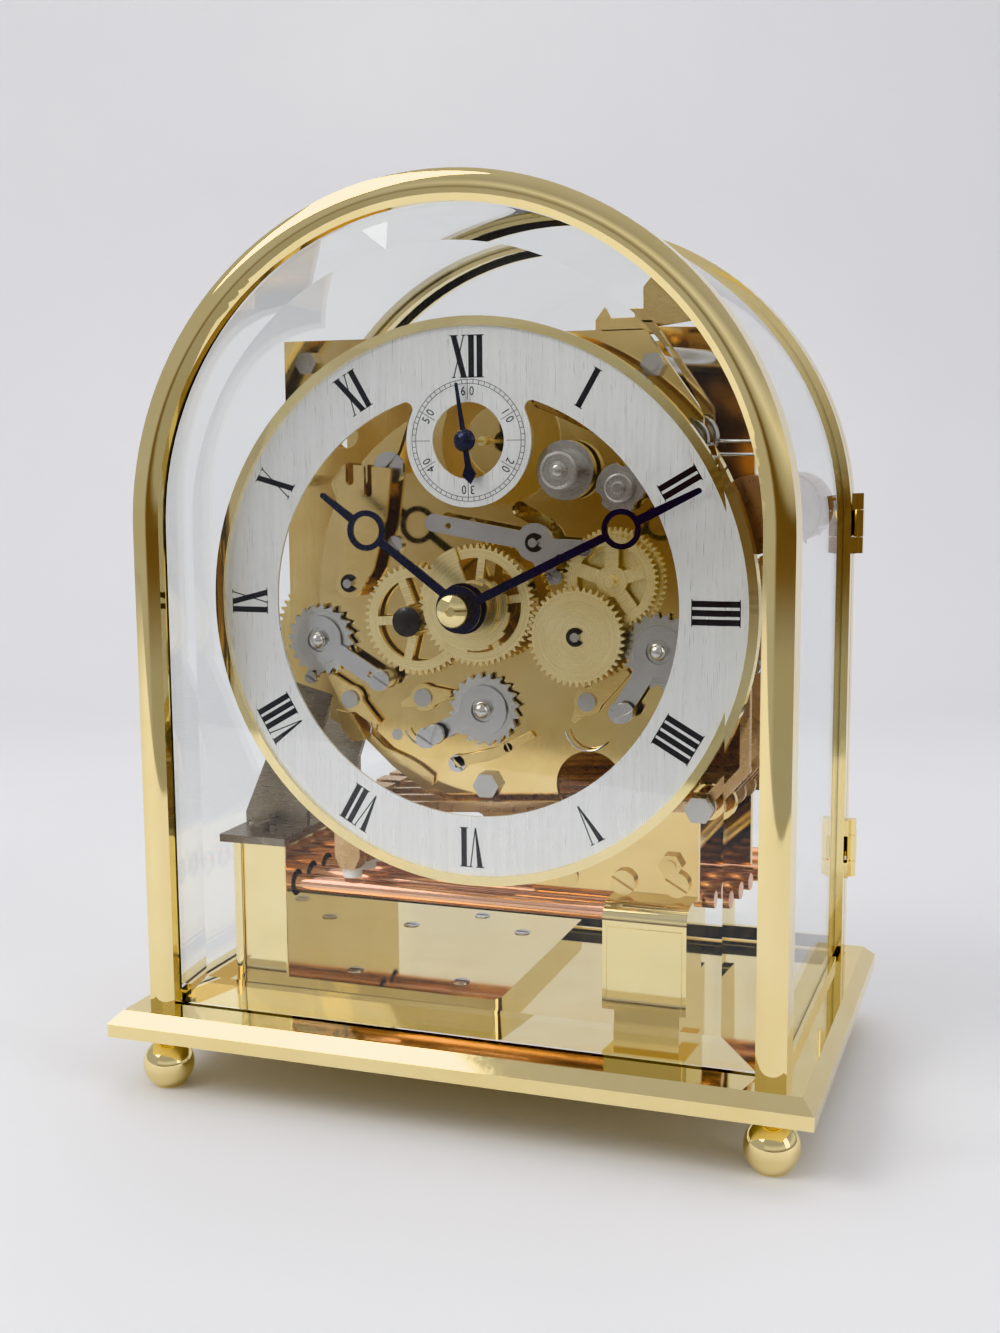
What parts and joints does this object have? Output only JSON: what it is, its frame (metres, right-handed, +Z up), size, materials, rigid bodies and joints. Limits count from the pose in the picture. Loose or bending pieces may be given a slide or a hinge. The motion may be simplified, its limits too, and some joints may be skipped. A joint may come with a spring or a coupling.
{
  "type": "skeleton mantel clock",
  "caption": "Key-wound chiming skeleton mantel clock with a silvered Roman dial ring, in an arched brass and glass case on ball feet.",
  "frame": {"origin": "on the table under the middle of the base plate", "axes": "+Z up, +Y from the dial towards the rear door, +X to the right seen from the dial side"},
  "size_m": [0.238, 0.158, 0.3],
  "materials": {
    "polished_brass": "polished",
    "satin_brass": "satin",
    "wheel_brass": "polished",
    "steel": "satin",
    "nickel": "polished",
    "dark_steel": "brushed",
    "copper": "polished",
    "silvered_dial": "vertical brushed",
    "blued_steel": "gloss",
    "bronze": "satin",
    "hammer_brass": "satin",
    "glass": "clear"
  },
  "bodies": {
    "case": {"base_plate": "polished_brass", "base_feet": "polished_brass", "front_frame": "polished_brass", "front_glass": "glass", "hood_glass": "glass", "rear_frame": "polished_brass", "door_hinges": "polished_brass", "movement_stand": "satin_brass", "seat_bracket": "dark_steel", "gong_blocks": "satin_brass", "chime_rods": "copper", "dial_ring": "silvered_dial", "dial_bezel": "polished_brass", "front_plate": "satin_brass", "back_plate": "satin_brass", "plate_pillars": "steel", "platform": "satin_brass", "ratchet_covers": "steel", "plate_hardware": "nickel"},
    "door": {"door_frame": "polished_brass", "door_glass": "glass", "door_knob": "polished_brass"},
    "minute_train": {"minute_arbor": "wheel_brass", "minute_hand": "blued_steel", "hand_nut": "polished_brass"},
    "hour_train": {"hour_wheel": "wheel_brass", "hour_hand": "blued_steel"},
    "minute_wheel": {"minute_wheel": "wheel_brass"},
    "day_wheel": {"day_wheel": "wheel_brass"},
    "third_wheel": {"third_wheel": "wheel_brass"},
    "seconds_train": {"seconds_arbor": "wheel_brass", "seconds_hand": "blued_steel"},
    "escape_wheel": {"escape_wheel": "wheel_brass"},
    "pallet": {"pallet_lever": "steel"},
    "balance": {"balance_wheel": "wheel_brass"},
    "barrel_time": {"barrel_time": "wheel_brass"},
    "barrel_strike": {"barrel_strike": "wheel_brass"},
    "barrel_chime": {"barrel_chime": "wheel_brass"},
    "winding_time": {"winding_arbor_time": "steel"},
    "winding_strike": {"winding_arbor_strike": "steel"},
    "winding_chime": {"winding_arbor_chime": "steel"},
    "click_time": {"click_time": "satin_brass"},
    "click_strike": {"click_strike": "satin_brass"},
    "click_chime": {"click_chime": "satin_brass"},
    "strike_wheel": {"strike_wheel": "wheel_brass"},
    "strike_fly": {"strike_fly": "wheel_brass"},
    "chime_wheel": {"chime_wheel": "wheel_brass"},
    "chime_fly": {"chime_fly": "wheel_brass"},
    "drum_idler": {"drum_idler": "satin_brass"},
    "chime_drum": {"chime_drum": "bronze"},
    "lift_lever": {"lift_lever": "steel"},
    "rack_lever": {"rack_lever": "satin_brass"},
    "hammer_1": {"hammer_1": "hammer_brass"},
    "hammer_2": {"hammer_2": "hammer_brass"},
    "hammer_3": {"hammer_3": "hammer_brass"},
    "hammer_4": {"hammer_4": "hammer_brass"},
    "hammer_5": {"hammer_5": "hammer_brass"},
    "hammer_6": {"hammer_6": "hammer_brass"},
    "hammer_7": {"hammer_7": "hammer_brass"},
    "hammer_8": {"hammer_8": "hammer_brass"}
  },
  "joints": [
    {"name": "door_swing", "type": "hinge", "parent": "case", "child": "door", "pos_m": [0.111, 0.06275, 0.13], "axis": [0, 0, -1], "range_deg": [0, 110]},
    {"name": "minute_turn", "type": "hinge", "parent": "case", "child": "minute_train", "pos_m": [0, 0, 0.1664], "axis": [0, 1, 0], "continuous": true},
    {"name": "hour_turn", "type": "hinge", "parent": "case", "child": "hour_train", "pos_m": [0, 0, 0.1664], "axis": [0, 1, 0], "continuous": true},
    {"name": "minute_wheel_turn", "type": "hinge", "parent": "case", "child": "minute_wheel", "pos_m": [-0.02377, 0, 0.16047], "axis": [0, 1, 0], "continuous": true},
    {"name": "day_wheel_turn", "type": "hinge", "parent": "case", "child": "day_wheel", "pos_m": [0.03406, 0, 0.15695], "axis": [0, 1, 0], "continuous": true},
    {"name": "third_wheel_turn", "type": "hinge", "parent": "case", "child": "third_wheel", "pos_m": [-0.00464, 0, 0.1932], "axis": [0, 1, 0], "continuous": true},
    {"name": "seconds_turn", "type": "hinge", "parent": "case", "child": "seconds_train", "pos_m": [0, 0, 0.2198], "axis": [0, 1, 0], "continuous": true},
    {"name": "escape_turn", "type": "hinge", "parent": "case", "child": "escape_wheel", "pos_m": [0, 0.0075, 0.246], "axis": [0, 0, 1], "continuous": true},
    {"name": "barrel_time_turn", "type": "hinge", "parent": "case", "child": "barrel_time", "pos_m": [0, 0, 0.1307], "axis": [0, 1, 0], "continuous": true},
    {"name": "pallet_rock", "type": "hinge", "parent": "case", "child": "pallet", "pos_m": [0.0086, 0.0075, 0.246], "axis": [0, 0, 1], "range_deg": [-8, 8]},
    {"name": "balance_swing", "type": "hinge", "parent": "case", "child": "balance", "pos_m": [0.0182, 0.0075, 0.246], "axis": [0, 0, 1], "range_deg": [-135, 135], "stiffness_Nm_per_rad": 0.00002},
    {"name": "strike_turn", "type": "hinge", "parent": "case", "child": "barrel_strike", "pos_m": [-0.06, 0, 0.1524], "axis": [0, 1, 0], "continuous": true},
    {"name": "strike_wheel_turn", "type": "hinge", "parent": "case", "child": "strike_wheel", "pos_m": [-0.0446, 0, 0.1747], "axis": [0, 1, 0], "continuous": true},
    {"name": "strike_fly_turn", "type": "hinge", "parent": "case", "child": "strike_fly", "pos_m": [-0.03839, 0, 0.19788], "axis": [0, 1, 0], "continuous": true},
    {"name": "chime_turn", "type": "hinge", "parent": "case", "child": "barrel_chime", "pos_m": [0.06, 0, 0.1524], "axis": [0, 1, 0], "continuous": true},
    {"name": "chime_wheel_turn", "type": "hinge", "parent": "case", "child": "chime_wheel", "pos_m": [0.0446, 0, 0.1747], "axis": [0, 1, 0], "continuous": true},
    {"name": "chime_fly_turn", "type": "hinge", "parent": "case", "child": "chime_fly", "pos_m": [0.02782, 0, 0.17558], "axis": [0, 1, 0], "continuous": true},
    {"name": "drum_idler_turn", "type": "hinge", "parent": "case", "child": "drum_idler", "pos_m": [0.06521, 0, 0.1912], "axis": [0, 1, 0], "continuous": true},
    {"name": "chime_drum_turn", "type": "hinge", "parent": "case", "child": "chime_drum", "pos_m": [0.0875, 0, 0.196], "axis": [0, 1, 0], "continuous": true},
    {"name": "wind_time", "type": "hinge", "parent": "case", "child": "winding_time", "pos_m": [0, 0, 0.1307], "axis": [0, 1, 0], "continuous": true},
    {"name": "wind_strike", "type": "hinge", "parent": "case", "child": "winding_strike", "pos_m": [-0.06, 0, 0.1524], "axis": [0, 1, 0], "continuous": true},
    {"name": "wind_chime", "type": "hinge", "parent": "case", "child": "winding_chime", "pos_m": [0.06, 0, 0.1524], "axis": [0, 1, 0], "continuous": true},
    {"name": "click_time_lift", "type": "hinge", "parent": "case", "child": "click_time", "pos_m": [-0.0218, 0, 0.1338], "axis": [0, -1, 0], "range_deg": [0, 8]},
    {"name": "click_strike_lift", "type": "hinge", "parent": "case", "child": "click_strike", "pos_m": [-0.049, 0, 0.1321], "axis": [0, -1, 0], "range_deg": [0, 8]},
    {"name": "click_chime_lift", "type": "hinge", "parent": "case", "child": "click_chime", "pos_m": [0.036, 0, 0.135], "axis": [0, -1, 0], "range_deg": [0, 8]},
    {"name": "lift_lever_rock", "type": "hinge", "parent": "case", "child": "lift_lever", "pos_m": [0.0194, 0, 0.187], "axis": [0, 1, 0], "range_deg": [-4, 4]},
    {"name": "rack_lever_rock", "type": "hinge", "parent": "case", "child": "rack_lever", "pos_m": [-0.047, 0, 0.1724], "axis": [0, 1, 0], "range_deg": [-3, 3]},
    {"name": "hammer_1_lift", "type": "hinge", "parent": "case", "child": "hammer_1", "pos_m": [0.0753, -0.0314, 0.1035], "axis": [0, 1, 0], "range_deg": [0, 6]},
    {"name": "hammer_2_lift", "type": "hinge", "parent": "case", "child": "hammer_2", "pos_m": [0.0753, -0.0194, 0.1035], "axis": [0, 1, 0], "range_deg": [0, 6]},
    {"name": "hammer_3_lift", "type": "hinge", "parent": "case", "child": "hammer_3", "pos_m": [0.0753, -0.0074, 0.1035], "axis": [0, 1, 0], "range_deg": [0, 6]},
    {"name": "hammer_4_lift", "type": "hinge", "parent": "case", "child": "hammer_4", "pos_m": [0.0753, 0.0046, 0.1035], "axis": [0, 1, 0], "range_deg": [0, 6]},
    {"name": "hammer_5_lift", "type": "hinge", "parent": "case", "child": "hammer_5", "pos_m": [0.0753, 0.0166, 0.1035], "axis": [0, 1, 0], "range_deg": [0, 6]},
    {"name": "hammer_6_lift", "type": "hinge", "parent": "case", "child": "hammer_6", "pos_m": [0.0753, 0.0286, 0.1035], "axis": [0, 1, 0], "range_deg": [0, 6]},
    {"name": "hammer_7_lift", "type": "hinge", "parent": "case", "child": "hammer_7", "pos_m": [0.0753, 0.0406, 0.1035], "axis": [0, 1, 0], "range_deg": [0, 6]},
    {"name": "hammer_8_lift", "type": "hinge", "parent": "case", "child": "hammer_8", "pos_m": [0.0753, 0.0526, 0.1035], "axis": [0, 1, 0], "range_deg": [0, 6]}
  ],
  "couplings": [
    {"joint": "hour_turn", "follows": "minute_turn", "ratio": 0.083333},
    {"joint": "minute_wheel_turn", "follows": "minute_turn", "ratio": -0.33333},
    {"joint": "day_wheel_turn", "follows": "minute_turn", "ratio": -0.1037},
    {"joint": "third_wheel_turn", "follows": "minute_turn", "ratio": -7.5},
    {"joint": "seconds_turn", "follows": "minute_turn", "ratio": 60},
    {"joint": "escape_turn", "follows": "minute_turn", "ratio": 600},
    {"joint": "barrel_time_turn", "follows": "minute_turn", "ratio": -0.25},
    {"joint": "strike_wheel_turn", "follows": "strike_turn", "ratio": -4.5},
    {"joint": "strike_fly_turn", "follows": "strike_turn", "ratio": 40.5},
    {"joint": "chime_wheel_turn", "follows": "chime_turn", "ratio": -4.5},
    {"joint": "chime_fly_turn", "follows": "chime_turn", "ratio": 27},
    {"joint": "drum_idler_turn", "follows": "chime_turn", "ratio": 5.4},
    {"joint": "chime_drum_turn", "follows": "chime_turn", "ratio": -6}
  ]
}
